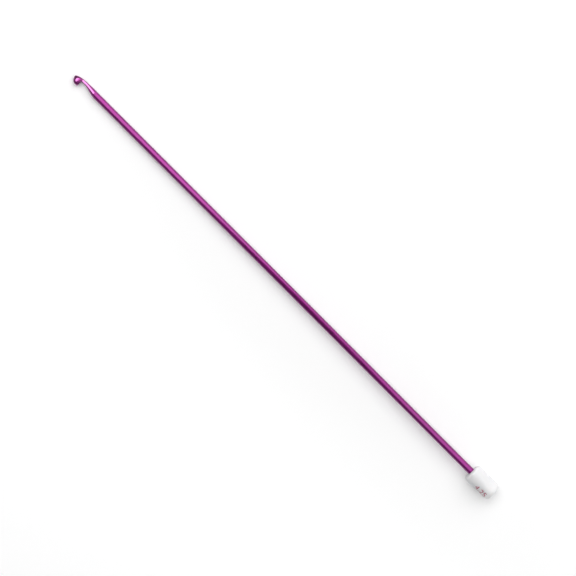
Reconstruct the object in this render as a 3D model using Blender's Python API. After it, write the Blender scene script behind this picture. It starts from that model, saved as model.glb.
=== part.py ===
"""Long crochet hook with a stopper cap, for crochet that keeps a whole row of loops on the rod.

Two separate pieces: hook_rod, one metal rod with a hook formed on its end, and stopper_cap, one moulded
cap pressed on the rod's ringed tail. The rod lies along X with its hook towards -X, and the throat of the
hook opens towards -Y. The origin is under the middle of the object, on the surface that the cap rests on.
Units are metres.
"""
import math

import bmesh
import bpy

# Overall sizes
OVERALL_LENGTH = 0.356
SHANK_DIAMETER = 0.00425
CAP_LENGTH = 0.0192
CAP_DIAMETER = 0.0118

# Formed end of the rod. "Along" runs from the tip to the cap, and "out" runs from the rod's axis
# towards the side on which the throat opens.
TIP_OUT = 0.00035
TIP_FACET_ALONG = 0.00001
HEAD_FRONT_OUT = 0.00400
HEAD_FRONT_ALONG = 0.0034
HEAD_HALF_WIDTH = 0.00205
HEAD_WIDEST_ALONG = 0.0036
LIP_ALONG = 0.0054
LIP_EDGE_RADIUS = 0.0009
LIP_FACE_LEAN = 0.0001
NECK_FRONT_OUT = 0.00030
NECK_BACK_OUT = -0.00180
NECK_HALF_WIDTH = 0.00195
NECK_FILLET = 0.0003
NECK_END_ALONG = 0.0090
BACK_END_ALONG = 0.0118
RAMP_END_ALONG = 0.0172
SIDE_FLAT_WIDTH = 0.0010
SIDE_FLAT_END_ALONG = 0.01595
SIDE_FLAT_RUNOUT = 0.00025

# Tail of the rod and the socket of the cap
FIT_CLEARANCE = 0.0003
SOCKET_DEPTH = 0.0130
GROOVE_COUNT = 2
GROOVE_FIRST = 0.0040
GROOVE_PITCH = 0.0045
GROOVE_WIDTH = 0.0012
GROOVE_DEPTH = 0.0006
TAIL_CHAMFER = 0.0005
MOUTH_CHAMFER = 0.0004

# Outside of the cap
CAP_MOUTH_ROUND = 0.0020
CAP_END_ROUND = 0.0033

# Facets
ROD_SIDES = 24
CAP_SIDES = 24
HALVINGS = 40
TIP_RINGS = 7
HEAD_RINGS = 5
LIP_EDGE_RINGS = 3
NECK_RINGS = 3
RAMP_RINGS = 6
ROUND_RINGS = 4
SHARP_ANGLE = math.radians(35)

# Derived places
SHANK_RADIUS = SHANK_DIAMETER / 2
CAP_RADIUS = CAP_DIAMETER / 2
TIP_X = -OVERALL_LENGTH / 2
CAP_END_X = OVERALL_LENGTH / 2
CAP_MOUTH_X = CAP_END_X - CAP_LENGTH
AXIS_HEIGHT = CAP_RADIUS


def clear_scene():
    for old in list(bpy.data.objects):
        bpy.data.objects.remove(old, do_unlink=True)


def cubic(start, leave, arrive, end, t):
    """A point at t, from 0 to 1, of a cubic curve from start to end."""
    u = 1 - t
    weights = (u**3, 3 * u * u * t, 3 * u * t * t, t**3)
    return tuple(sum(w * p[axis] for w, p in zip(weights, (start, leave, arrive, end))) for axis in (0, 1))


def height_at(curve, along):
    """How far out a curve that only moves forwards is at a place along the rod."""
    low, high = 0.0, 1.0
    for _ in range(HALVINGS):
        middle = (low + high) / 2
        if cubic(*curve, middle)[0] < along:
            low = middle
        else:
            high = middle
    return cubic(*curve, high)[1]


def head_front():
    """Outline of the head on the throat's side, from the tip to its fullest point."""
    rise = HEAD_FRONT_OUT - TIP_OUT
    return (
        (0.0, TIP_OUT),
        (0.0, TIP_OUT + 0.30 * rise),
        (0.35 * HEAD_FRONT_ALONG, HEAD_FRONT_OUT),
        (HEAD_FRONT_ALONG, HEAD_FRONT_OUT),
    )


def head_back():
    """Outline of the head on its back, from the tip to the neck."""
    fall = TIP_OUT - NECK_BACK_OUT
    return (
        (0.0, TIP_OUT),
        (0.0, TIP_OUT - 0.21 * fall),
        (0.30 * LIP_ALONG, TIP_OUT - 0.67 * fall),
        (LIP_ALONG, NECK_BACK_OUT),
    )


def head_side():
    """Half width of the head, from the tip to its widest point."""
    return (
        (0.0, 0.0),
        (0.0, 0.45 * HEAD_HALF_WIDTH),
        (0.45 * HEAD_WIDEST_ALONG, HEAD_HALF_WIDTH),
        (HEAD_WIDEST_ALONG, HEAD_HALF_WIDTH),
    )


def ease(start, end, place):
    """0 before start, 1 after end, and a smooth rise between them."""
    t = min(max((place - start) / (end - start), 0.0), 1.0)
    return t * t * (3 - 2 * t)


def back_at(along):
    if along < LIP_ALONG:
        return height_at(head_back(), along)
    t = min((along - LIP_ALONG) / (BACK_END_ALONG - LIP_ALONG), 1.0)
    return NECK_BACK_OUT + (-SHANK_RADIUS - NECK_BACK_OUT) * t


def ramp_at(along):
    """The front of the neck and of the ramp that rises from it to the shank."""
    rise = SHANK_RADIUS - NECK_FRONT_OUT
    slope = (
        (NECK_END_ALONG, NECK_FRONT_OUT),
        (NECK_END_ALONG + 0.30 * (RAMP_END_ALONG - NECK_END_ALONG), NECK_FRONT_OUT + 0.20 * rise),
        (NECK_END_ALONG + 0.65 * (RAMP_END_ALONG - NECK_END_ALONG), NECK_FRONT_OUT + 0.85 * rise),
        (RAMP_END_ALONG, SHANK_RADIUS),
    )
    if along <= NECK_END_ALONG:
        return NECK_FRONT_OUT
    if along >= RAMP_END_ALONG:
        return SHANK_RADIUS
    return height_at(slope, along)


def head_half_width_at(along):
    if along < HEAD_WIDEST_ALONG:
        return height_at(head_side(), along)
    return HEAD_HALF_WIDTH + (NECK_HALF_WIDTH - HEAD_HALF_WIDTH) * ease(HEAD_WIDEST_ALONG, LIP_ALONG, along)


def neck_half_width_at(along):
    return NECK_HALF_WIDTH + (SHANK_RADIUS - NECK_HALF_WIDTH) * ease(LIP_ALONG, RAMP_END_ALONG, along)


def flat_limit(back, front, half_width):
    """How far from the middle the side flats lie on an oval section, for flats of the named width."""
    return half_width * math.sqrt(1 - (SIDE_FLAT_WIDTH / (front - back)) ** 2)


def section(along, back, front, half_width, spine, limit):
    """Corners of a section of the rod that is widest at its spine and reaches out to its back and front.

    The middle of each facet lies on the true curve. No corner is further to a side than the limit.
    """
    step = 2 * math.pi / ROD_SIDES
    outwards = 1 / math.cos(step / 2)
    corners = []
    for index in range(ROD_SIDES):
        angle = (index + 0.5) * step
        depth = front - spine if math.cos(angle) > 0 else spine - back
        out = spine + depth * outwards * math.cos(angle)
        across = half_width * outwards * math.sin(angle)
        corners.append((TIP_X + along, -out, min(max(across, -limit), limit)))
    return corners


def head_section(along, place, front):
    """A section of the head, shaped as at a place along it. Its spine runs from the tip to the neck's middle."""
    neck_middle = (NECK_FRONT_OUT + NECK_BACK_OUT) / 2
    spine = TIP_OUT + (neck_middle - TIP_OUT) * place / LIP_ALONG
    half_width = head_half_width_at(place)
    return section(along, back_at(place), front, half_width, spine, half_width)


def neck_section(along, front):
    """A section of the neck or the ramp, with its side flats."""
    back = back_at(along)
    half_width = neck_half_width_at(along)
    return section(along, back, front, half_width, (front + back) / 2, flat_limit(back, front, half_width))


def circle(x, radius, sides):
    """Corners of a round section, with facets facing straight down, up and to both sides."""
    step = 2 * math.pi / sides
    reach = radius / math.cos(step / 2)
    angles = [(index + 0.5) * step for index in range(sides)]
    return [(x, -reach * math.cos(angle), reach * math.sin(angle)) for angle in angles]


def loft(name, sections):
    """One closed body through a row of sections that all have the same number of corners."""
    mesh = bpy.data.meshes.new(name)
    shape = bmesh.new()
    loops = [[shape.verts.new(corner) for corner in corners] for corners in sections]
    for near, far in zip(loops, loops[1:]):
        for index in range(len(near)):
            after = (index + 1) % len(near)
            shape.faces.new((near[index], near[after], far[after], far[index]))
    shape.faces.new(reversed(loops[0]))
    shape.faces.new(loops[-1])
    bmesh.ops.recalc_face_normals(shape, faces=shape.faces)
    shape.to_mesh(mesh)
    shape.free()
    mesh.shade_smooth()
    mesh.set_sharp_from_angle(angle=SHARP_ANGLE)
    piece = bpy.data.objects.new(name, mesh)
    bpy.context.scene.collection.objects.link(piece)
    return piece


def hook_sections():
    """Sections of the formed end, from the tip to the plain shank."""
    sections = [head_section(0.0, TIP_FACET_ALONG, height_at(head_front(), TIP_FACET_ALONG))]
    for index in range(1, TIP_RINGS):
        along = HEAD_WIDEST_ALONG * (1 - math.cos(0.5 * math.pi * index / TIP_RINGS))
        sections.append(head_section(along, along, height_at(head_front(), along)))
    edge_start = LIP_ALONG - LIP_EDGE_RADIUS
    for index in range(HEAD_RINGS):
        along = HEAD_WIDEST_ALONG + (edge_start - HEAD_WIDEST_ALONG) * index / (HEAD_RINGS - 1)
        sections.append(head_section(along, along, height_at(head_front(), min(along, HEAD_FRONT_ALONG))))
    for index in range(1, LIP_EDGE_RINGS + 1):
        turn = 0.5 * math.pi * index / LIP_EDGE_RINGS
        along = edge_start + LIP_EDGE_RADIUS * math.sin(turn)
        sections.append(head_section(along, along, HEAD_FRONT_OUT - LIP_EDGE_RADIUS * (1 - math.cos(turn))))
    sections.append(neck_section(LIP_ALONG + LIP_FACE_LEAN, NECK_FRONT_OUT + NECK_FILLET))
    neck_start = LIP_ALONG + LIP_FACE_LEAN + NECK_FILLET
    for index in range(NECK_RINGS):
        along = neck_start + (NECK_END_ALONG - neck_start) * index / (NECK_RINGS - 1)
        sections.append(neck_section(along, NECK_FRONT_OUT))
    for index in range(1, RAMP_RINGS + 1):
        along = NECK_END_ALONG + (SIDE_FLAT_END_ALONG - NECK_END_ALONG) * index / RAMP_RINGS
        sections.append(neck_section(along, ramp_at(along)))
    along = SIDE_FLAT_END_ALONG + SIDE_FLAT_RUNOUT
    front = ramp_at(along)
    half_width = neck_half_width_at(along)
    sections.append(section(along, -SHANK_RADIUS, front, half_width, (front - SHANK_RADIUS) / 2, half_width))
    sections.append(circle(TIP_X + RAMP_END_ALONG, SHANK_RADIUS, ROD_SIDES))
    return sections


def groove_starts():
    """Where each ring groove of the tail starts, measured into the cap from its mouth."""
    return [GROOVE_FIRST + GROOVE_PITCH * index for index in range(GROOVE_COUNT)]


def tail_sections():
    """Sections of the tail inside the cap, with its ring grooves."""
    sections = []
    for start in groove_starts():
        near = CAP_MOUTH_X + start
        far = near + GROOVE_WIDTH
        sections.append(circle(near, SHANK_RADIUS, ROD_SIDES))
        sections.append(circle(near, SHANK_RADIUS - GROOVE_DEPTH, ROD_SIDES))
        sections.append(circle(far, SHANK_RADIUS - GROOVE_DEPTH, ROD_SIDES))
        sections.append(circle(far, SHANK_RADIUS, ROD_SIDES))
    tail_end = CAP_MOUTH_X + SOCKET_DEPTH - FIT_CLEARANCE
    sections.append(circle(tail_end - TAIL_CHAMFER, SHANK_RADIUS, ROD_SIDES))
    sections.append(circle(tail_end, SHANK_RADIUS - TAIL_CHAMFER, ROD_SIDES))
    return sections


def socket_sections():
    """Sections of the cap's blind socket, from its floor out to its mouth, with a rib for each groove."""
    bore = SHANK_RADIUS + FIT_CLEARANCE
    rib = bore - GROOVE_DEPTH
    sections = [circle(CAP_MOUTH_X + SOCKET_DEPTH, bore, CAP_SIDES)]
    for start in reversed(groove_starts()):
        far = CAP_MOUTH_X + start + GROOVE_WIDTH - FIT_CLEARANCE
        near = CAP_MOUTH_X + start + FIT_CLEARANCE
        sections.append(circle(far, bore, CAP_SIDES))
        sections.append(circle(far, rib, CAP_SIDES))
        sections.append(circle(near, rib, CAP_SIDES))
        sections.append(circle(near, bore, CAP_SIDES))
    sections.append(circle(CAP_MOUTH_X + MOUTH_CHAMFER, bore, CAP_SIDES))
    sections.append(circle(CAP_MOUTH_X, bore + MOUTH_CHAMFER, CAP_SIDES))
    return sections


def cap_outside_sections():
    """Sections of the cap's outside, from its mouth to its flat end."""
    sections = []
    for index in range(ROUND_RINGS + 1):
        turn = 0.5 * math.pi * index / ROUND_RINGS
        x = CAP_MOUTH_X + CAP_MOUTH_ROUND * (1 - math.cos(turn))
        sections.append(circle(x, CAP_RADIUS - CAP_MOUTH_ROUND * (1 - math.sin(turn)), CAP_SIDES))
    for index in range(ROUND_RINGS + 1):
        turn = 0.5 * math.pi * index / ROUND_RINGS
        x = CAP_END_X - CAP_END_ROUND * (1 - math.sin(turn))
        sections.append(circle(x, CAP_RADIUS - CAP_END_ROUND * (1 - math.cos(turn)), CAP_SIDES))
    return sections


def finish(piece, colour, roughness, metallic, parent):
    """Gives a piece its material and sets it on the object's axis."""
    material = bpy.data.materials.new(piece.name)
    material.use_nodes = True
    shader = material.node_tree.nodes["Principled BSDF"]
    shader.inputs["Base Color"].default_value = (*colour, 1.0)
    shader.inputs["Roughness"].default_value = roughness
    shader.inputs["Metallic"].default_value = metallic
    piece.data.materials.append(material)
    piece.parent = parent
    piece.location = (0.0, 0.0, AXIS_HEIGHT)


def main():
    clear_scene()
    assembly = bpy.data.objects.new("crochet_hook", None)
    bpy.context.scene.collection.objects.link(assembly)
    hook_rod = loft("hook_rod", hook_sections() + tail_sections())
    finish(hook_rod, (0.31, 0.03, 0.22), 0.32, 1.0, assembly)
    stopper_cap = loft("stopper_cap", socket_sections() + cap_outside_sections())
    finish(stopper_cap, (0.88, 0.88, 0.88), 0.35, 0.0, assembly)


main()
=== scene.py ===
"""Looks of the long crochet hook: an anodised rod with a formed hook, and a white moulded stopper cap.

The file is laid out as a Blender add-on and is run as a script. Lengths are in metres. The rod lies along X
with its hook towards -X, and the hook's throat opens towards -Y.
"""
import math

import bmesh
import bpy
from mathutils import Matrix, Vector


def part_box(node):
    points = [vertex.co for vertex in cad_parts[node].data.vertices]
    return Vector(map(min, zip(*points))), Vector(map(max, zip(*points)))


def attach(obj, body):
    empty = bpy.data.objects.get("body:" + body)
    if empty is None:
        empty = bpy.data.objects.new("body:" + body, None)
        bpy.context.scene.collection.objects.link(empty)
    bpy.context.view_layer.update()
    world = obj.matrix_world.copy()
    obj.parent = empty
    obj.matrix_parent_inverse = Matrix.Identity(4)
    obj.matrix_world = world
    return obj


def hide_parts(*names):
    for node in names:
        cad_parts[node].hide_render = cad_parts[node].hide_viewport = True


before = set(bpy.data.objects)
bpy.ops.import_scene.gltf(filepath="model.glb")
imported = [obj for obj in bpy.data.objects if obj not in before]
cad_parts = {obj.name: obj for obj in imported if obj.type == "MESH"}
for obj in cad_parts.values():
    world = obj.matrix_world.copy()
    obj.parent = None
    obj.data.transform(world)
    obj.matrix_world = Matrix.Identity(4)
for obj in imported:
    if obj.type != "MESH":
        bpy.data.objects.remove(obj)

bl_info = {
    "name": "Crochet hook with stopper cap",
    "version": (1, 0, 0),
    "blender": (4, 5, 0),
    "location": "3D View > Sidebar > Crochet hook",
    "description": "Makes the anodised rod, the moulded cap, the size mark and the table they lie on",
    "category": "Object",
}

ROD_LOW, ROD_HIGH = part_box("hook_rod")
CAP_LOW, CAP_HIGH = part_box("stopper_cap")
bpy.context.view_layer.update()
AXIS_Z = (ROD_LOW.z + ROD_HIGH.z) / 2
TIP_X = ROD_LOW.x
TAIL_X = ROD_HIGH.x
MOUTH_X = CAP_LOW.x
CAP_END_X = CAP_HIGH.x
SHANK_RADIUS = (ROD_HIGH.z - ROD_LOW.z) / 2
CAP_RADIUS = (CAP_HIGH.z - CAP_LOW.z) / 2
BODY = "root"
WEAR = "wear"
# The mask of the painted highlight, kept on the rod's points.
PAINTED_HIGHLIGHT = "burnish"
TAIL_GROOVES = 2
MERGE_DISTANCE = 1e-7


# ---------------------------------------------------------------- settings


def length(name, description, default):
    """A setting in metres."""
    return bpy.props.FloatProperty(
        name=name, description=description, default=default, unit="LENGTH", subtype="DISTANCE", precision=6
    )


def colour(name, description, default):
    """A colour setting, in linear light."""
    return bpy.props.FloatVectorProperty(
        name=name, description=description, default=default, subtype="COLOR", size=3, min=0.0, max=1.0
    )


def factor(name, description, default):
    """A setting from 0 to 1."""
    return bpy.props.FloatProperty(
        name=name, description=description, default=default, subtype="FACTOR", min=0.0, max=1.0
    )


def level(name, description, default):
    """A lamp's level, from 0 upwards."""
    return bpy.props.FloatProperty(name=name, description=description, default=default, min=0.0)


def angle_setting(name, description, degrees):
    """An angle, given here in degrees."""
    return bpy.props.FloatProperty(
        name=name, description=description, default=math.radians(degrees), subtype="ANGLE"
    )


class RodSettings(bpy.types.PropertyGroup):
    """Sizes of the formed end, counted from the tip and from the rod's axis, and the anodised finish."""

    tip_out: length("Tip", "How far the tip lies towards the throat's side of the axis", 0.00035)
    head_full_along: length("Head fullest", "Where the head reaches furthest to the throat's side", 0.0034)
    head_wide_along: length("Head widest", "Where the head is widest across", 0.0036)
    head_half_width: length("Head half width", "Half of the head's greatest width", 0.00205)
    lip_along: length("Lip", "Where the flat face of the lip stands", 0.0054)
    lip_edge: length("Lip edge", "Radius of the lip's rounded edge", 0.0009)
    neck_front: length("Neck front", "How far the front of the neck lies from the axis", 0.0003)
    neck_back: length("Neck back", "How far the back of the neck lies from the axis", 0.0018)
    neck_half_width: length("Neck half width", "Half width of the neck without its flats", 0.00195)
    neck_fillet: length("Throat fillet", "Radius in the corner between the lip and the neck", 0.0003)
    neck_end_along: length("Neck end", "Where the neck ends and the ramp starts", 0.0090)
    back_end_along: length("Back end", "Where the back reaches the shank's line", 0.0118)
    ramp_end_along: length("Ramp end", "Where the ramp reaches the shank's line", 0.0172)
    flat_width: length("Flat width", "Width of the flats pressed on the sides of the neck", 0.0010)
    flat_end_along: length("Flat end", "Where the pressed flats stop", 0.01595)
    groove_start: length("Groove start", "Where the tail's first ring groove starts, from the mouth", 0.0040)
    groove_pitch: length("Groove pitch", "Distance from one ring groove to the next", 0.0045)
    groove_width: length("Groove width", "Width of a ring groove", 0.0012)
    groove_depth: length("Groove depth", "Depth of a ring groove", 0.0006)
    tail_chamfer: length("Tail chamfer", "Chamfer round the tail's end", 0.0005)
    dye: colour("Dye", "Colour of the anodised metal", (0.250, 0.0090, 0.186))
    # Painted highlight: the lighter colour laid on the pressed flats and on the head's broad sides.
    highlighted: colour("Burnished", "Colour where the metal was pressed and burnished", (0.62, 0.20, 0.52))
    bare: colour("Bare metal", "Colour where the dye has worn thin", (0.62, 0.34, 0.54))
    roughness: factor("Roughness", "Roughness of the drawn shank", 0.30)
    polish: factor("Polish", "Roughness of the formed and polished end", 0.20)


class CapSettings(bpy.types.PropertyGroup):
    """Sizes and plastic of the stopper cap."""

    mouth_round: length("Mouth round", "Radius of the edge round the cap's mouth", 0.0020)
    end_round: length("End round", "Radius of the edge round the cap's closed end", 0.0033)
    skin: length("Skin", "How far the surface lies inside the greatest radius, for the ink", 0.00002)
    bore_gap: length("Bore gap", "Gap between the rod and the bore", 0.00005)
    bottom_gap: length("Bottom gap", "Gap between the tail's end and the bore's bottom", 0.0003)
    lead_in: length("Lead-in", "Radius of the edge round the bore's mouth", 0.00025)
    witness_place: length("Witness line", "How far the mould's line stands from the mouth's round", 0.0004)
    gate_radius: length("Gate radius", "Radius of the moulding gate's dimple", 0.0007)
    gate_depth: length("Gate depth", "Depth of the moulding gate's dimple", 0.00018)
    plastic: colour("Plastic", "Colour of the moulded plastic", (0.86, 0.855, 0.86))
    roughness: factor("Roughness", "Roughness of the moulded plastic", 0.34)


class MarkSettings(bpy.types.PropertyGroup):
    """The plain size number printed on the cap."""

    digits: bpy.props.StringProperty(
        name="Digits", description="The size of the shank in millimetres, as plain digits", default="4.25"
    )
    height: length("Height", "Height of the digits' line", 0.0050)
    from_mouth: length("From mouth", "Where the number's middle lies, from the cap's mouth", 0.0118)
    angle: angle_setting("Angle", "Turn from the top towards the throat's side", 50)
    thickness: length("Ink thickness", "Thickness of the printed ink", 0.000012)
    sink: length("Ink sink", "How far the ink's underside lies in the plastic", 0.000004)
    ink: colour("Ink", "Colour of the printed ink", (0.46, 0.035, 0.11))


class StageSettings(bpy.types.PropertyGroup):
    """The table, the lamps and the camera."""

    table_size: length("Table", "Side of the square table", 8.0)
    lift: level("Table lift", "How much whiter than its light the table looks beside the hook", 0.07)
    lift_off: level("Table lift further off", "How much is added to the lift away from the hook", 0.11)
    lift_far: level("Table lift far off", "How much is added to the lift towards the table's edge", 0.7)
    box_height: length("Soft box height", "Height of the two soft boxes over the table", 1.1)
    box_back: length("Soft box place", "How far behind the rod the two soft boxes hang", 0.74)
    box_width: length("Soft box width", "Width of a soft box", 1.0)
    box_length: length("Soft box length", "Length of a soft box", 2.25)
    box_turn: angle_setting("Soft box turn", "Turn of each soft box away from the other", 8)
    left_x: length("Left soft box", "Where the soft box over the hook's end hangs", -0.51)
    left_level: level("Left level", "Level of the soft box over the hook's end", 2.30)
    right_x: length("Right soft box", "Where the soft box over the cap's end hangs", 0.58)
    right_level: level("Right level", "Level of the soft box over the cap's end", 1.48)
    panel_back: length("Panel place", "How far behind the rod the upright panel stands", 2.5)
    panel_height: length("Panel height", "Height of the upright panel's middle over the table", 1.0)
    panel_width: length("Panel width", "Width of the upright panel", 3.2)
    panel_length: length("Panel length", "Height of the upright panel from edge to edge", 1.8)
    panel_level: level("Panel level", "Level of the upright panel", 0.7)
    room: factor("Room light", "Level of the light from the room all round", 0.19)
    camera_height: length("Camera height", "Height of the camera over the rod", 1.0)
    camera_x: length("Camera place", "Where the camera hangs along the rod", 0.0029)
    camera_turn: angle_setting("Camera turn", "Turn of the camera about the upright", 45.04)
    lens: bpy.props.FloatProperty(
        name="Lens", description="Focal length of the camera's lens", default=103.93, unit="CAMERA"
    )


class HookSettings(bpy.types.PropertyGroup):
    """All the settings of the hook."""

    rod: bpy.props.PointerProperty(type=RodSettings)
    cap: bpy.props.PointerProperty(type=CapSettings)
    mark: bpy.props.PointerProperty(type=MarkSettings)
    stage: bpy.props.PointerProperty(type=StageSettings)


# ---------------------------------------------------------------- shape helpers


def cubic(start, leave, arrive, end, t):
    """A point at t, from 0 to 1, of a cubic curve from start to end."""
    u = 1 - t
    weights = (u**3, 3 * u * u * t, 3 * u * t * t, t**3)
    return tuple(sum(w * p[axis] for w, p in zip(weights, (start, leave, arrive, end))) for axis in (0, 1))


def height_at(curve, along):
    """How far out a curve that only moves forwards is at a place along the rod."""
    low, high = 0.0, 1.0
    for _ in range(40):
        middle = (low + high) / 2
        if cubic(*curve, middle)[0] < along:
            low = middle
        else:
            high = middle
    return cubic(*curve, high)[1]


def ease(start, end, place):
    """0 before start, 1 after end, and a smooth rise between them."""
    t = min(max((place - start) / (end - start), 0.0), 1.0)
    return t * t * (3 - 2 * t)


def soft_limit(value, limit, softness):
    """value, held under limit with a rounded corner."""
    if value <= limit - softness:
        return value
    if value >= limit + softness:
        return limit
    return limit - (limit + softness - value) ** 2 / (4 * softness)


def join_object(name, mesh):
    """A new object in the scene that shows the mesh."""
    piece = bpy.data.objects.new(name, mesh)
    bpy.context.scene.collection.objects.link(piece)
    return piece


# ---------------------------------------------------------------- the rod's shape


class FormedEnd:
    """The hook's outline and sections, worked out from the rod's settings.

    Places are (along, out): from the tip along the rod, and from the axis towards the throat's side.
    The PULL values say where a curve's two handles lie, as parts of the curve's run or rise.
    """

    SIDES = 96
    CORNER = 0.00010
    FACE_LEAN = 0.00005
    SIDE_STEP = 0.00025
    RIDGE_TURN = 0.0032
    SHANK_START = 0.001
    NOSE_PULL = (0.30, 0.35)
    BACK_PULL = (0.25, 0.27, 0.71)
    WIDTH_PULL = 0.45
    RAMP_PULL = ((0.30, 0.20), (0.65, 0.85))
    # From the tip: where the painted highlight on the head's broad sides starts, is full, starts to fade and
    # ends.
    SHINE = (0.0005, 0.0014, 0.0026, 0.0040)
    NOSE_SQUARENESS = 0.28
    SQUARE_FROM = 0.0018
    TIP_WEAR = 0.35
    TIP_WEAR_END = 0.0012
    EDGE_WEAR = 0.5

    def __init__(self, rod):
        self.rod = rod
        self.head_out = -ROD_LOW.y
        self.rings = []

    def head_front(self, along):
        """The head's outline on the throat's side: a blunt nose, then level up to the lip."""
        rod = self.rod
        rise = self.head_out - rod.tip_out
        full = rod.head_full_along
        if along >= full:
            return self.head_out
        curve = (
            (0.0, rod.tip_out),
            (0.0, rod.tip_out + self.NOSE_PULL[0] * rise),
            (self.NOSE_PULL[1] * full, self.head_out),
            (full, self.head_out),
        )
        return height_at(curve, along)

    def back(self, along):
        """The outline on the back: round the nose, then straight to the shank's line."""
        rod = self.rod
        if along >= rod.lip_along:
            t = min((along - rod.lip_along) / (rod.back_end_along - rod.lip_along), 1.0)
            return -rod.neck_back - (SHANK_RADIUS - rod.neck_back) * t
        fall = rod.tip_out + rod.neck_back
        leave, run, arrive = self.BACK_PULL
        curve = (
            (0.0, rod.tip_out),
            (0.0, rod.tip_out - leave * fall),
            (run * rod.lip_along, rod.tip_out - arrive * fall),
            (rod.lip_along, -rod.neck_back),
        )
        return height_at(curve, along)

    def head_half_width(self, along):
        """Half of the head's width across: rounded at the nose, then narrowing to the neck's."""
        rod = self.rod
        wide = rod.head_wide_along
        if along >= wide:
            narrowed = ease(wide, rod.lip_along, along)
            return rod.head_half_width + (rod.neck_half_width - rod.head_half_width) * narrowed
        curve = (
            (0.0, 0.0),
            (0.0, self.WIDTH_PULL * rod.head_half_width),
            (self.WIDTH_PULL * wide, rod.head_half_width),
            (wide, rod.head_half_width),
        )
        return height_at(curve, along)

    def neck_half_width(self, along):
        """Half of the width across, growing from the neck's to the shank's."""
        rod = self.rod
        grown = ease(rod.lip_along, rod.ramp_end_along, along)
        return rod.neck_half_width + (SHANK_RADIUS - rod.neck_half_width) * grown

    def ramp(self, along):
        """The front outline of the neck and of the ramp that rises from it to the shank's line."""
        rod = self.rod
        rise = SHANK_RADIUS - rod.neck_front
        run = rod.ramp_end_along - rod.neck_end_along
        if along <= rod.neck_end_along:
            return rod.neck_front
        if along >= rod.ramp_end_along:
            return SHANK_RADIUS
        leave, arrive = (
            (rod.neck_end_along + part_run * run, rod.neck_front + part_rise * rise)
            for part_run, part_rise in self.RAMP_PULL
        )
        curve = ((rod.neck_end_along, rod.neck_front), leave, arrive, (rod.ramp_end_along, SHANK_RADIUS))
        return height_at(curve, along)

    def add(self, along, back, front, half_width, spine, limit, wear, shine=0.0, roundness=1.0):
        """One section, widest at its spine, its sides held under the limit, with a painted highlight there.

        A roundness under 1 makes the section squarer than an ellipse; shine adds painted highlight to its
        broad sides.
        """
        corners = []
        for index in range(self.SIDES):
            angle = 2 * math.pi * index / self.SIDES
            depth = front - spine if math.cos(angle) > 0 else spine - back
            out = spine + depth * math.copysign(abs(math.cos(angle)) ** roundness, math.cos(angle))
            reach = soft_limit(half_width * abs(math.sin(angle)) ** roundness, limit, self.CORNER)
            across = math.copysign(reach, math.sin(angle))
            rubbed = wear * max(math.cos(angle), 0.0) ** 2
            pressed = ease(limit - self.CORNER, limit + self.CORNER, half_width * abs(math.sin(angle)))
            # Painted highlight: full on the pressed flats, and on the head's broad sides as far as shine
            # reaches.
            burnish = max(pressed, shine * abs(math.sin(angle)) ** 8)
            corners.append((Vector((TIP_X + along, -out, AXIS_Z + across)), rubbed, burnish))
        self.rings.append(corners)

    def add_head(self, along, inset=0.0, wear=0.0):
        """One section of the head, its front drawn in by inset where the lip's edge is rounded."""
        rod = self.rod
        front, back = self.head_front(along), self.back(along)
        neck_middle = (rod.neck_front - rod.neck_back) / 2
        head_middle = (front + back) / 2
        spine = head_middle + (neck_middle - head_middle) * ease(self.RIDGE_TURN, rod.lip_along, along)
        half_width = self.head_half_width(along) - self.SIDE_STEP / rod.lip_edge * inset
        # How strong the painted highlight on the head's broad sides is at this section.
        shine_start, shine_full, shine_fades, shine_end = self.SHINE
        shine = ease(shine_start, shine_full, along) * (1 - ease(shine_fades, shine_end, along))
        squared = ease(0.0, self.SQUARE_FROM, along) * (1 - ease(self.RIDGE_TURN, rod.lip_along, along))
        roundness = 1 - self.NOSE_SQUARENESS * squared
        self.add(along, back, front - inset, half_width, spine, half_width * 2, wear, shine, roundness)

    def add_neck(self, along, front, flat=1.0):
        """One section behind the lip, with its side flats pressed in fully where flat is 1."""
        rod = self.rod
        back = self.back(along)
        half_width = self.neck_half_width(along)
        pressed = half_width * math.sqrt(1 - (rod.flat_width / (front - back)) ** 2)
        limit = pressed + (half_width + self.CORNER - pressed) * (1 - flat)
        self.add(along, back, front, half_width, (front + back) / 2, limit, wear=0.0)

    def make(self):
        """All the sections, from the tip to the start of the plain shank."""
        self.make_head()
        self.make_throat()
        self.make_ramp()
        return self.rings

    def make_head(self):
        """The nose, the head and the lip's rounded edge."""
        rod = self.rod
        tip_steps = 30
        for index in range(tip_steps):
            along = rod.head_wide_along * (1 - math.cos(0.5 * math.pi * index / tip_steps))
            self.add_head(along, wear=self.TIP_WEAR * (1 - ease(0.0, self.TIP_WEAR_END, along)))
        edge_start = rod.lip_along - rod.lip_edge
        head_steps = 8
        for index in range(head_steps):
            t = index / head_steps
            along = rod.head_wide_along + (edge_start - rod.head_wide_along) * t
            self.add_head(along, wear=self.EDGE_WEAR * t)
        edge_steps = 8
        for index in range(edge_steps + 1):
            turn = 0.5 * math.pi * index / edge_steps
            along = edge_start + rod.lip_edge * math.sin(turn)
            wear = self.EDGE_WEAR + (1 - self.EDGE_WEAR) * math.sin(2 * turn)
            self.add_head(along, rod.lip_edge * (1 - math.cos(turn)), wear)

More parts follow.
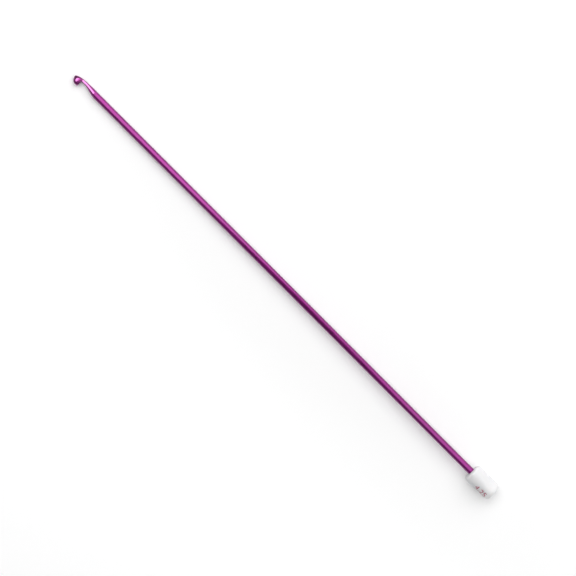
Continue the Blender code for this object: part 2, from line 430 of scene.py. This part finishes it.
    def make_throat(self):
        """The lip's flat face, the fillet under it and the straight neck."""
        rod = self.rod
        lip_front = self.head_out - rod.lip_edge
        neck_front = rod.neck_front + rod.neck_fillet
        for t in (0.03, 0.97):
            front = lip_front + (neck_front - lip_front) * t
            self.add_neck(rod.lip_along + self.FACE_LEAN * t, front)
        fillet_steps = 5
        for index in range(fillet_steps + 1):
            turn = 0.5 * math.pi * index / fillet_steps
            along = rod.lip_along + self.FACE_LEAN + rod.neck_fillet * (1 - math.cos(turn))
            self.add_neck(along, neck_front - rod.neck_fillet * math.sin(turn))
        neck_start = rod.lip_along + self.FACE_LEAN + rod.neck_fillet
        neck_steps = 8
        for index in range(1, neck_steps + 1):
            along = neck_start + (rod.neck_end_along - neck_start) * index / neck_steps
            self.add_neck(along, rod.neck_front)

    def make_ramp(self):
        """The ramp with its side flats, the flats' short run-out and the start of the shank."""
        rod = self.rod
        ramp_steps = 28
        for index in range(1, ramp_steps + 1):
            along = rod.neck_end_along + (rod.flat_end_along - rod.neck_end_along) * index / ramp_steps
            self.add_neck(along, self.ramp(along))
        runout_steps = 5
        for index in range(1, runout_steps + 1):
            t = index / runout_steps
            along = rod.flat_end_along + self.SIDE_STEP * t
            self.add_neck(along, self.ramp(along), flat=1 - ease(0.0, 1.0, t))
        shank_steps = 8
        start = rod.flat_end_along + self.SIDE_STEP
        for index in range(1, shank_steps + 1):
            along = start + (rod.ramp_end_along + self.SHANK_START - start) * index / shank_steps
            self.add_neck(along, self.ramp(along), flat=0.0)


def groove_spans(rod):
    """Where each ring groove of the tail starts and ends."""
    starts = [MOUTH_X + rod.groove_start + rod.groove_pitch * index for index in range(TAIL_GROOVES)]
    return [(start, start + rod.groove_width) for start in starts]


def tail_rings(rod):
    """Rings of the plain shank and of the grooved tail inside the cap, ready for the loft."""
    profile = []
    spans = 12
    start = TIP_X + rod.ramp_end_along + FormedEnd.SHANK_START
    for index in range(1, spans):
        profile.append((start + (MOUTH_X - start) * index / spans, SHANK_RADIUS))
    floor = SHANK_RADIUS - rod.groove_depth
    for near, far in groove_spans(rod):
        profile += [(near, SHANK_RADIUS), (near, floor), (far, floor), (far, SHANK_RADIUS)]
    profile.append((TAIL_X - rod.tail_chamfer, SHANK_RADIUS))
    profile.append((TAIL_X, SHANK_RADIUS - rod.tail_chamfer))
    profile.append((TAIL_X, 0.0))
    rings = []
    for x, radius in profile:
        ring = []
        for index in range(FormedEnd.SIDES):
            turn = 2 * math.pi * index / FormedEnd.SIDES
            corner = Vector((x, -radius * math.cos(turn), AXIS_Z + radius * math.sin(turn)))
            ring.append((corner, 0.0, 0.0))
        rings.append(ring)
    return rings


def loft(name, rings):
    """One closed mesh through rings of (place, wear, painted highlight); its end rings merge to points."""
    mesh = bpy.data.meshes.new(name)
    shape = bmesh.new()
    wear = shape.verts.layers.float.new(WEAR)
    burnish = shape.verts.layers.float.new(PAINTED_HIGHLIGHT)
    loops = []
    for ring in rings:
        loop = []
        # Each corner carries its wear and its painted highlight.
        for place, rubbed, pressed in ring:
            corner = shape.verts.new(place)
            corner[wear] = rubbed
            corner[burnish] = pressed
            loop.append(corner)
        loops.append(loop)
    for near, far in zip(loops, loops[1:]):
        for index in range(len(near)):
            after = (index + 1) % len(near)
            shape.faces.new((near[index], near[after], far[after], far[index]))
    bmesh.ops.remove_doubles(shape, verts=shape.verts, dist=MERGE_DISTANCE)
    bmesh.ops.recalc_face_normals(shape, faces=shape.faces)
    shape.to_mesh(mesh)
    shape.free()
    mesh.shade_smooth()
    mesh.set_sharp_from_angle(angle=math.radians(50))
    return join_object(name, mesh)


# ---------------------------------------------------------------- node helpers


class Graph:
    """Adds nodes to a tree and links them from left to right."""

    def __init__(self, tree):
        self.tree = tree

    def node(self, kind, inputs=None, **settings):
        """A new node. An input given as a socket is linked, and any other value is set."""
        made = self.tree.nodes.new(kind)
        for name, value in settings.items():
            setattr(made, name, value)
        for name, value in (inputs or {}).items():
            socket = made.inputs[name]
            if isinstance(value, bpy.types.NodeSocket):
                self.tree.links.new(value, socket)
            else:
                socket.default_value = value
        return made

    def link(self, output, node, name):
        """Links an output to a node's named input."""
        self.tree.links.new(output, node.inputs[name])

    def math(self, operation, a, b=0.0):
        """The output of a math node."""
        return self.node("ShaderNodeMath", {0: a, 1: b}, operation=operation).outputs[0]

    def vector(self, x, y, z):
        """A vector made from three numbers."""
        return self.node("ShaderNodeCombineXYZ", {0: x, 1: y, 2: z}).outputs[0]


def new_material(name):
    """A material with its graph and its Principled shader."""
    material = bpy.data.materials.new(name)
    material.use_nodes = True
    graph = Graph(material.node_tree)
    return material, graph, material.node_tree.nodes["Principled BSDF"]


def place_on_piece(graph, scale, centre=(0.0, 0.0, 0.0)):
    """Object coordinates, moved so that centre is at zero, and scaled."""
    source = graph.node("ShaderNodeTexCoord").outputs["Object"]
    location = tuple(-c * s for c, s in zip(centre, scale))
    mapping = graph.node("ShaderNodeMapping", {"Vector": source, "Location": location, "Scale": scale})
    return mapping.outputs["Vector"]


def along_piece(graph, start):
    """How far a point lies along X from start."""
    source = graph.node("ShaderNodeTexCoord").outputs["Object"]
    return graph.math("SUBTRACT", graph.node("ShaderNodeSeparateXYZ", {0: source}).outputs[0], start)


def noise(graph, vector, detail=3.0, roughness=0.5):
    """Noise at one wave for each unit of the vector."""
    return graph.node(
        "ShaderNodeTexNoise", {"Vector": vector, "Scale": 1.0, "Detail": detail, "Roughness": roughness}
    ).outputs["Fac"]


def remap(graph, value, low, high, to_low, to_high):
    """value, stretched from low..high to to_low..to_high and held there."""
    return graph.node(
        "ShaderNodeMapRange",
        {"Value": value, "From Min": low, "From Max": high, "To Min": to_low, "To Max": to_high},
    ).outputs["Result"]


def mix_colour(graph, fac, a, b):
    """Colour a where fac is 0 and colour b where it is 1."""
    made = graph.node("ShaderNodeMix", data_type="RGBA")
    fac_index, a_index, b_index = 0, 6, 7
    for index, value in ((fac_index, fac), (a_index, a), (b_index, b)):
        if isinstance(value, bpy.types.NodeSocket):
            graph.tree.links.new(value, made.inputs[index])
        else:
            made.inputs[index].default_value = value
    return made.outputs[2]


# ---------------------------------------------------------------- materials

# Waves per metre along X, Y and Z.
DRAW_LINES = (60.0, 9000.0, 9000.0)
BROAD_LINES = (18.0, 2200.0, 2200.0)
HANDLING_CLOUDS = (140.0, 500.0, 500.0)
TURNING_MARKS = (14000.0, 300.0, 300.0)
WORN_PATCHES = (1800.0, 1800.0, 1800.0)
ORANGE_PEEL = (1500.0, 1500.0, 1500.0)
FLOW_CLOUDS = (90.0, 260.0, 260.0)
SPECKS = (5200.0, 5200.0, 5200.0)
SCUFFS = (3200.0, 500.0, 500.0)
RUBBED_INK = (2600.0, 2600.0, 2600.0)
PAPER_GRAIN = (900.0, 900.0, 900.0)

SPECK_COLOUR = (0.60, 0.58, 0.56, 1.0)
# Pinkish grey painted shade at the cap's mouth, where the rod goes in.
PAINTED_SHADE_COLOUR = (0.66, 0.60, 0.63, 1.0)
# How deep red, green and blue light scatters in the plastic, in metres.
SCATTER_DEPTH = (0.0062, 0.0059, 0.0058)


def anodised_metal(rod):
    """Dyed aluminium: draw lines along the rod, cloudy handling marks, fine scratches, worn edges and a
    painted highlight.
    """
    material, graph, shader = new_material("anodised_magenta")
    centre = (0.0, 0.0, AXIS_Z)
    draw_lines = noise(graph, place_on_piece(graph, DRAW_LINES, centre), detail=4.0, roughness=0.6)
    broad_lines = noise(graph, place_on_piece(graph, BROAD_LINES, centre), detail=2.0)
    clouds = noise(graph, place_on_piece(graph, HANDLING_CLOUDS, centre))
    turning = noise(graph, place_on_piece(graph, TURNING_MARKS, centre), detail=2.0)
    wear = graph.node("ShaderNodeAttribute", attribute_name=WEAR).outputs["Fac"]
    burnish = graph.node("ShaderNodeAttribute", attribute_name=PAINTED_HIGHLIGHT).outputs["Fac"]
    polish_end = rod.flat_end_along - 0.0001
    satin_start = rod.flat_end_along + 0.0003
    satin = remap(graph, along_piece(graph, TIP_X), polish_end, satin_start, 0.0, 1.0)
    patches = noise(graph, place_on_piece(graph, WORN_PATCHES, centre))
    patch = remap(graph, patches, 0.35, 0.65, 0.2, 1.0)
    worn = graph.math("MULTIPLY", wear, graph.math("MULTIPLY", patch, 0.55))

    dye = (*rod.dye, 1.0)
    deep = tuple(c * 0.82 for c in rod.dye) + (1.0,)
    light = tuple(min(c * 1.12, 1.0) for c in rod.dye) + (1.0,)
    tone = mix_colour(graph, remap(graph, clouds, 0.35, 0.65, 0.0, 1.0), dye, light)
    tone = mix_colour(graph, remap(graph, broad_lines, 0.42, 0.62, 0.0, 0.8), tone, deep)
    tone = mix_colour(graph, worn, tone, (*rod.bare, 1.0))
    # Painted highlight: the pressed flats and the head's broad sides are made lighter.
    tone = mix_colour(graph, graph.math("MULTIPLY", burnish, 0.9), tone, (*rod.highlighted, 1.0))
    graph.link(tone, shader, "Base Color")

    finish = remap(graph, satin, 0.0, 1.0, rod.polish, rod.roughness)
    cloudy = remap(graph, clouds, 0.3, 0.7, 0.85, 1.15)
    lined = remap(graph, draw_lines, 0.3, 0.7, -0.10, 0.15)
    rough = graph.math("MULTIPLY", finish, graph.math("ADD", cloudy, lined))
    rough = graph.math("ADD", rough, graph.math("MULTIPLY", worn, 0.12))
    graph.link(rough, shader, "Roughness")

    fine_relief = graph.math("MULTIPLY", draw_lines, 0.6)
    relief = graph.math("ADD", fine_relief, graph.math("MULTIPLY", broad_lines, 0.8))
    relief = graph.math("ADD", relief, graph.math("MULTIPLY", turning, 0.25))
    strength = remap(graph, satin, 0.0, 1.0, 0.05, 0.30)
    bump = graph.node("ShaderNodeBump", {"Height": relief, "Strength": strength, "Distance": 0.00002})
    graph.link(bump.outputs["Normal"], shader, "Normal")

    rod_axis = (1.0, 0.0, 0.0)
    normal = graph.node("ShaderNodeNewGeometry").outputs["Normal"]
    round_the_rod = graph.node("ShaderNodeVectorMath", {0: rod_axis, 1: normal}, operation="CROSS_PRODUCT")
    graph.link(round_the_rod.outputs[0], shader, "Tangent")
    shader.inputs["Anisotropic"].default_value = 0.8
    shader.inputs["Metallic"].default_value = 1.0
    shader.inputs["Coat Weight"].default_value = 0.75
    shader.inputs["Coat Roughness"].default_value = 0.08
    shader.inputs["Coat IOR"].default_value = 1.5
    return material


def moulded_plastic(cap):
    """White plastic: a soft orange peel, flow clouds, specks, scuffs and a pinkish painted shade at the
    mouth.
    """
    material, graph, shader = new_material("cap_white")
    centre = (MOUTH_X, 0.0, AXIS_Z)
    peel = noise(graph, place_on_piece(graph, ORANGE_PEEL, centre), detail=2.0)
    flow = noise(graph, place_on_piece(graph, FLOW_CLOUDS, centre), detail=4.0)
    specks = noise(graph, place_on_piece(graph, SPECKS, centre), detail=1.0)
    scuffs = noise(graph, place_on_piece(graph, SCUFFS, centre), roughness=0.7)
    # Painted shade in a narrow band at the mouth, where the rod goes in.
    painted_shade_width = 0.0009
    near_mouth = remap(graph, along_piece(graph, MOUTH_X), 0.0, painted_shade_width, 1.0, 0.0)
    painted_mouth_shade = graph.math("MULTIPLY", near_mouth, remap(graph, flow, 0.35, 0.65, 0.10, 0.35))

    red, green, blue = cap.plastic
    cool = (red * 0.975, green * 0.98, blue * 0.995, 1.0)
    tone = mix_colour(graph, remap(graph, flow, 0.35, 0.65, 0.0, 1.0), (red, green, blue, 1.0), cool)
    tone = mix_colour(graph, remap(graph, specks, 0.70, 0.78, 0.0, 0.18), tone, SPECK_COLOUR)
    tone = mix_colour(graph, painted_mouth_shade, tone, PAINTED_SHADE_COLOUR)
    graph.link(tone, shader, "Base Color")

    gloss = remap(graph, flow, 0.3, 0.7, cap.roughness - 0.04, cap.roughness + 0.05)
    rough = graph.math("ADD", gloss, remap(graph, scuffs, 0.56, 0.72, 0.0, 0.14))
    graph.link(rough, shader, "Roughness")

    relief = graph.math("ADD", peel, graph.math("MULTIPLY", scuffs, 0.25))
    bump = graph.node("ShaderNodeBump", {"Height": relief, "Strength": 0.25, "Distance": 0.00004})
    graph.link(bump.outputs["Normal"], shader, "Normal")

    shader.inputs["Subsurface Weight"].default_value = 1.0
    shader.inputs["Subsurface Radius"].default_value = SCATTER_DEPTH
    shader.inputs["Subsurface Scale"].default_value = 1.0
    return material


def printed_ink(mark):
    """Crimson ink with thin, slightly rubbed patches."""
    material, graph, shader = new_material("size_ink")
    rub = noise(graph, place_on_piece(graph, RUBBED_INK), detail=4.0, roughness=0.65)
    ink_left, plastic_seen = 0.55, 0.8
    pale = tuple(ink_left * c + (1 - ink_left) * plastic_seen for c in mark.ink) + (1.0,)
    tone = mix_colour(graph, remap(graph, rub, 0.52, 0.72, 0.0, 0.75), (*mark.ink, 1.0), pale)
    graph.link(tone, shader, "Base Color")
    graph.link(remap(graph, rub, 0.3, 0.7, 0.30, 0.52), shader, "Roughness")
    bump = graph.node("ShaderNodeBump", {"Height": rub, "Strength": 0.2, "Distance": 0.00001})
    graph.link(bump.outputs["Normal"], shader, "Normal")
    return material


def table_paper(stage):
    """White paper. Its lift shows only to the camera and in reflections, so it lights nothing.

    The lift grows away from the hook, where no shadow falls, and again towards the table's edge.
    """
    material, graph, shader = new_material("table_white")
    grain = noise(graph, place_on_piece(graph, PAPER_GRAIN))
    tone = mix_colour(graph, grain, (0.93, 0.93, 0.93, 1.0), (0.95, 0.95, 0.95, 1.0))
    graph.link(tone, shader, "Base Color")
    shader.inputs["Roughness"].default_value = 1.0
    shader.inputs["Specular IOR Level"].default_value = 0.0
    path = graph.node("ShaderNodeLightPath")
    seen = graph.math("MAXIMUM", path.outputs["Is Camera Ray"], path.outputs["Is Glossy Ray"])
    seen = graph.math("MAXIMUM", seen, path.outputs["Is Transmission Ray"])
    shader.inputs["Emission Color"].default_value = (1.0, 1.0, 1.0, 1.0)
    # The distance from the rod, with its length counted for a quarter.
    flattened = place_on_piece(graph, (0.25, 1.0, 0.0))
    away = graph.node("ShaderNodeVectorMath", {0: flattened}, operation="LENGTH").outputs["Value"]
    near_lift = remap(graph, away, 0.03, 0.10, stage.lift, stage.lift + stage.lift_off)
    far_lift = remap(graph, away, 0.4, 2.0, 0.0, stage.lift_far)
    lift = graph.math("ADD", near_lift, far_lift)
    graph.link(graph.math("MULTIPLY", seen, lift), shader, "Emission Strength")
    return material


# ---------------------------------------------------------------- geometry nodes


def named_tree(name, inputs):
    """A geometry tree with a Geometry input and output, and the named inputs given as (name, kind)."""
    tree = bpy.data.node_groups.new(name, "GeometryNodeTree")
    tree.interface.new_socket("Geometry", in_out="INPUT", socket_type="NodeSocketGeometry")
    for label, kind in inputs:
        tree.interface.new_socket(label, in_out="INPUT", socket_type=kind)
    tree.interface.new_socket("Geometry", in_out="OUTPUT", socket_type="NodeSocketGeometry")
    graph = Graph(tree)
    return graph, graph.node("NodeGroupInput"), graph.node("NodeGroupOutput")


def apply_tree(piece, graph, values):
    """Runs a geometry tree on a piece with named values, and keeps the result as a plain mesh."""
    modifier = piece.modifiers.new(graph.tree.name, "NODES")
    modifier.node_group = graph.tree
    for socket in graph.tree.interface.items_tree:
        if socket.item_type == "SOCKET" and socket.in_out == "INPUT" and socket.name in values:
            modifier[socket.identifier] = values[socket.name]
    bpy.context.view_layer.update()
    evaluated = piece.evaluated_get(bpy.context.evaluated_depsgraph_get())
    mesh = bpy.data.meshes.new_from_object(evaluated)
    piece.modifiers.remove(modifier)
    old = piece.data
    piece.data = mesh
    bpy.data.meshes.remove(old)
    return piece


def merged(graph, node):
    """A node's geometry with the points that lie on each other joined."""
    inputs = {"Geometry": node.outputs[0], "Distance": MERGE_DISTANCE}
    return graph.node("GeometryNodeMergeByDistance", inputs)


def finish_tree(graph, node, given, result):
    """Ends a tree: a node's geometry is made real, gets the given material and goes out."""
    real = graph.node("GeometryNodeRealizeInstances", {"Geometry": node.outputs[0]})
    inputs = {"Geometry": real.outputs[0], "Material": given.outputs["Material"]}
    painted = graph.node("GeometryNodeSetMaterial", inputs)
    graph.link(painted.outputs[0], result, "Geometry")


def turned_tree():
    """Turns a profile, drawn in the XY plane with Y as its radius, round the X axis at a height."""
    graph, given, result = named_tree(
        "turned_piece",
        (
            ("Sides", "NodeSocketInt"),
            ("Axis Height", "NodeSocketFloat"),
            ("Material", "NodeSocketMaterial"),
        ),
    )
    profile = given.outputs["Geometry"]
    points = graph.node("GeometryNodeAttributeDomainSize", {0: profile}).outputs["Point Count"]
    around = graph.math("ADD", given.outputs["Sides"], 1.0)
    grid = graph.node(
        "GeometryNodeMeshGrid", {"Size X": 1.0, "Size Y": 1.0, "Vertices X": around, "Vertices Y": points}
    )
    index = graph.node("GeometryNodeInputIndex").outputs[0]
    column = graph.math("FLOOR", graph.math("DIVIDE", graph.math("ADD", index, 0.5), points))
    row = graph.math("SUBTRACT", index, graph.math("MULTIPLY", column, points))
    place = graph.node("GeometryNodeInputPosition").outputs[0]
    sample = graph.node(
        "GeometryNodeSampleIndex",
        {"Geometry": profile, "Value": place, "Index": row},
        data_type="FLOAT_VECTOR",
        domain="POINT",
    ).outputs[0]
    x, radius, _ = graph.node("ShaderNodeSeparateXYZ", {0: sample}).outputs
    angle = graph.math("DIVIDE", graph.math("MULTIPLY", column, 2 * math.pi), given.outputs["Sides"])
    y = graph.math("MULTIPLY", radius, graph.math("COSINE", angle))
    rise = graph.math("MULTIPLY", radius, graph.math("SINE", angle))
    z = graph.math("ADD", rise, given.outputs["Axis Height"])
    turned = graph.node(
        "GeometryNodeSetPosition", {"Geometry": grid.outputs["Mesh"], "Position": graph.vector(x, y, z)}
    )
    closed = merged(graph, turned)
    smooth = graph.node("GeometryNodeSetShadeSmooth", {"Geometry": closed.outputs[0], "Shade Smooth": True})
    finish_tree(graph, smooth, given, result)
    return graph


def wrapped_text_tree():
    """Prints text on a cylinder that lies along X: filled, cut fine, bent round and made solid."""
    graph, given, result = named_tree(
        "printed_number",
        (
            ("Text", "NodeSocketString"),
            ("Height", "NodeSocketFloat"),
            ("Radius", "NodeSocketFloat"),
            ("Angle", "NodeSocketFloat"),
            ("Middle X", "NodeSocketFloat"),
            ("Axis Height", "NodeSocketFloat"),
            ("Thickness", "NodeSocketFloat"),
            ("Material", "NodeSocketMaterial"),
        ),
    )
    letters = graph.node(
        "GeometryNodeStringToCurves",
        {"String": given.outputs["Text"], "Size": given.outputs["Height"]},
        align_x="CENTER",
        align_y="MIDDLE",
    )
    loose = graph.node("GeometryNodeRealizeInstances", {"Geometry": letters.outputs["Curve Instances"]})
    filled = graph.node("GeometryNodeFillCurve", {"Curve": loose.outputs[0]})
    fine = graph.node("GeometryNodeSubdivideMesh", {"Mesh": filled.outputs[0], "Level": 3})
    place = graph.node("GeometryNodeInputPosition").outputs[0]
    flat_x, flat_y, _ = graph.node("ShaderNodeSeparateXYZ", {0: place}).outputs
    radius = given.outputs["Radius"]
    turn = graph.math("SUBTRACT", given.outputs["Angle"], graph.math("DIVIDE", flat_y, radius))
    x = graph.math("ADD", flat_x, given.outputs["Middle X"])
    y = graph.math("MULTIPLY", graph.math("SINE", turn), graph.math("MULTIPLY", radius, -1.0))
    rise = graph.math("MULTIPLY", graph.math("COSINE", turn), radius)
    z = graph.math("ADD", rise, given.outputs["Axis Height"])
    bent = graph.node(
        "GeometryNodeSetPosition", {"Geometry": fine.outputs[0], "Position": graph.vector(x, y, z)}
    )
    raised = graph.node(
        "GeometryNodeExtrudeMesh",
        {"Mesh": bent.outputs[0], "Offset Scale": given.outputs["Thickness"], "Individual": False},
        mode="FACES",
    )
    under = graph.node("GeometryNodeFlipFaces", {"Mesh": bent.outputs[0]})
    both = graph.node("GeometryNodeJoinGeometry")
    graph.link(raised.outputs["Mesh"], both, "Geometry")
    graph.link(under.outputs[0], both, "Geometry")
    finish_tree(graph, merged(graph, both), given, result)
    return graph


# ---------------------------------------------------------------- the cap's profile


def arc(centre_x, centre_r, radius, start, end, steps):
    """Points of an arc in the profile plane, with angles in degrees from +X towards the outside."""
    points = []
    for index in range(steps + 1):
        angle = math.radians(start + (end - start) * index / steps)
        points.append((centre_x + radius * math.cos(angle), centre_r + radius * math.sin(angle)))
    return points


def gate_dimple(cap):
    """The round dimple in the middle of the closed end, and a ring of the flat round it."""
    steps = ((1.0, 0.0), (1.0, 0.45), (0.9, 0.7), (0.35, 0.9), (0.06, 1.02), (0.0, 1.15), (0.0, 1.4))
    return [(CAP_END_X - depth * cap.gate_depth, out * cap.gate_radius) for depth, out in steps]


def witness_line(cap, outer):
    """The low ridge that the mould leaves near the mouth."""
    middle = MOUTH_X + cap.mouth_round + cap.witness_place
    half_foot, half_top = 0.00012, 0.00004
    top = outer + 0.5 * cap.skin
    return [
        (middle + half_foot, outer),
        (middle + half_top, top),
        (middle - half_top, top),
        (middle - half_foot, outer),
    ]


def cap_profile(cap, rod):
    """Half section of the cap: from the middle of the closed end round the outside and up the socket."""
    outer = CAP_RADIUS - cap.skin
    bore = SHANK_RADIUS + cap.bore_gap
    rib = bore - rod.groove_depth
    bottom = TAIL_X + cap.bottom_gap
    points = gate_dimple(cap)
    points += arc(CAP_END_X - cap.end_round, outer - cap.end_round, cap.end_round, 0, 90, 18)
    points += witness_line(cap, outer)
    points += arc(MOUTH_X + cap.mouth_round, outer - cap.mouth_round, cap.mouth_round, 90, 180, 10)
    points.append((MOUTH_X, bore + 1.6 * cap.lead_in))
    points += arc(MOUTH_X + cap.lead_in, bore + cap.lead_in, cap.lead_in, 180, 270, 5)
    for groove_near, groove_far in groove_spans(rod):
        near = groove_near + cap.bore_gap
        far = groove_far - cap.bore_gap
        points += [(near, bore), (near, rib), (far, rib), (far, bore)]
    points += [(bottom, bore), (bottom, 0.0)]
    return points


def profile_object(name, points):
    """A chain of edges in the XY plane for the turning tree."""
    mesh = bpy.data.meshes.new(name)
    corners = [(x, radius, 0.0) for x, radius in points]
    mesh.from_pydata(corners, [(index, index + 1) for index in range(len(points) - 1)], [])
    return join_object(name, mesh)


# ---------------------------------------------------------------- operators


class HOOK_OT_make_rod(bpy.types.Operator):
    """Makes the anodised rod with its formed hook and its grooved tail"""

    bl_idname = "crochet_hook.make_rod"
    bl_label = "Make the rod"

    def execute(self, context):
        rod = context.scene.crochet_hook.rod
        piece = loft("rod_with_hook", FormedEnd(rod).make() + tail_rings(rod))
        piece.data.materials.append(anodised_metal(rod))
        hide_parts("hook_rod")
        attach(piece, BODY)
        return {"FINISHED"}


class HOOK_OT_make_cap(bpy.types.Operator):
    """Makes the moulded stopper cap by turning its half section"""

    bl_idname = "crochet_hook.make_cap"
    bl_label = "Make the cap"

    def execute(self, context):
        settings = context.scene.crochet_hook
        piece = profile_object("moulded_cap", cap_profile(settings.cap, settings.rod))
        values = {"Sides": 192, "Axis Height": AXIS_Z, "Material": moulded_plastic(settings.cap)}
        apply_tree(piece, turned_tree(), values)
        piece.data.set_sharp_from_angle(angle=math.radians(40))
        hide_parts("stopper_cap")
        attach(piece, BODY)
        return {"FINISHED"}


class HOOK_OT_make_mark(bpy.types.Operator):
    """Prints the plain size number on the side of the cap"""

    bl_idname = "crochet_hook.make_mark"
    bl_label = "Print the size number"

    def execute(self, context):
        settings = context.scene.crochet_hook
        mark = settings.mark
        piece = join_object("size_number", bpy.data.meshes.new("size_number"))
        values = {
            "Text": mark.digits,
            "Height": mark.height,
            "Radius": CAP_RADIUS - settings.cap.skin - mark.sink,
            "Angle": mark.angle,
            "Middle X": MOUTH_X + mark.from_mouth,
            "Axis Height": AXIS_Z,
            "Thickness": mark.thickness,
            "Material": printed_ink(mark),
        }
        apply_tree(piece, wrapped_text_tree(), values)
        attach(piece, BODY)
        return {"FINISHED"}


def soft_box(name, middle, size, turn, strength):
    """A rectangular lamp that shines evenly at its level, turned by the angles given."""
    light = bpy.data.lights.new(name, "AREA")
    light.shape = "RECTANGLE"
    light.size, light.size_y = size
    light.energy = strength * math.pi * size[0] * size[1]
    lamp = bpy.data.objects.new(name, light)
    lamp.location = middle
    lamp.rotation_euler = turn
    bpy.context.scene.collection.objects.link(lamp)


def add_table(settings):
    """A plain square of paper that touches the head and the cap's rounded mouth from below."""
    half = settings.stage.table_size / 2
    corners = [(-half, -half, 0), (half, -half, 0), (half, half, 0), (-half, half, 0)]
    mesh = bpy.data.meshes.new("table")
    mesh.from_pydata(corners, [], [(0, 1, 2, 3)])
    mesh.materials.append(table_paper(settings.stage))
    table = join_object("table", mesh)
    head_x = TIP_X + settings.rod.head_wide_along
    head_low = AXIS_Z - settings.rod.head_half_width
    mouth_x = MOUTH_X + settings.cap.mouth_round
    pitch = math.atan2(head_low, mouth_x - head_x)
    table.rotation_euler = (0.0, pitch, 0.0)
    table.location = (0.0, 0.0, math.tan(pitch) * mouth_x)


def add_lamps(stage):
    """Two soft boxes overhead, an upright panel behind and an even light from the room."""
    size = (stage.box_width, stage.box_length)
    left = (stage.left_x, stage.box_back, stage.box_height)
    right = (stage.right_x, stage.box_back, stage.box_height)
    soft_box("soft_box_left", left, size, (0.0, 0.0, -stage.box_turn), stage.left_level)
    soft_box("soft_box_right", right, size, (0.0, 0.0, stage.box_turn), stage.right_level)
    behind = (0.0, stage.panel_back, stage.panel_height)
    upright = (math.radians(-90), 0.0, 0.0)
    soft_box("soft_panel", behind, (stage.panel_width, stage.panel_length), upright, stage.panel_level)
    world = bpy.data.worlds.new("room")
    world.use_nodes = True
    background = world.node_tree.nodes["Background"]
    background.inputs["Color"].default_value = (1.0, 1.0, 1.0, 1.0)
    background.inputs["Strength"].default_value = stage.room
    bpy.context.scene.world = world


def add_camera(stage):
    """A camera that looks straight down."""
    data = bpy.data.cameras.new("camera")
    data.sensor_width = 36.0
    data.lens = stage.lens
    data.clip_start = 0.01
    data.clip_end = 20.0
    camera = bpy.data.objects.new("camera", data)
    camera.location = (stage.camera_x, 0.0, AXIS_Z + stage.camera_height)
    camera.rotation_euler = (0.0, 0.0, stage.camera_turn)
    bpy.context.scene.collection.objects.link(camera)
    bpy.context.scene.camera = camera


class HOOK_OT_make_stage(bpy.types.Operator):
    """Makes the white table, the lamps, the room light and the camera"""

    bl_idname = "crochet_hook.make_stage"
    bl_label = "Make the stage"

    def execute(self, context):
        settings = context.scene.crochet_hook
        add_table(settings)
        add_lamps(settings.stage)
        add_camera(settings.stage)
        context.scene.view_settings.view_transform = "Standard"
        return {"FINISHED"}


class HOOK_PT_panel(bpy.types.Panel):
    """Lists the settings and the steps of the hook"""

    bl_idname = "HOOK_PT_panel"
    bl_label = "Crochet hook"
    bl_space_type = "VIEW_3D"
    bl_region_type = "UI"
    bl_category = "Crochet hook"

    def draw(self, context):
        """Shows each group's settings above the step that uses them."""
        settings = context.scene.crochet_hook
        for label, group, operator in (
            ("Rod", settings.rod, "crochet_hook.make_rod"),
            ("Cap", settings.cap, "crochet_hook.make_cap"),
            ("Size number", settings.mark, "crochet_hook.make_mark"),
            ("Stage", settings.stage, "crochet_hook.make_stage"),
        ):
            box = self.layout.box()
            box.label(text=label)
            for name in group.__annotations__:
                box.prop(group, name)
            box.operator(operator)


CLASSES = (
    RodSettings,
    CapSettings,
    MarkSettings,
    StageSettings,
    HookSettings,
    HOOK_OT_make_rod,
    HOOK_OT_make_cap,
    HOOK_OT_make_mark,
    HOOK_OT_make_stage,
    HOOK_PT_panel,
)


def register():
    """Registers the classes and adds the settings to the scene."""
    for item in CLASSES:
        bpy.utils.register_class(item)
    bpy.types.Scene.crochet_hook = bpy.props.PointerProperty(type=HookSettings)


def unregister():
    """Takes the settings and the classes away again."""
    del bpy.types.Scene.crochet_hook
    for item in reversed(CLASSES):
        bpy.utils.unregister_class(item)


def main():
    """Makes the stage and the pieces in order."""
    register()
    bpy.ops.crochet_hook.make_stage()
    bpy.ops.crochet_hook.make_rod()
    bpy.ops.crochet_hook.make_cap()
    bpy.ops.crochet_hook.make_mark()


if __name__ == "__main__":
    main()
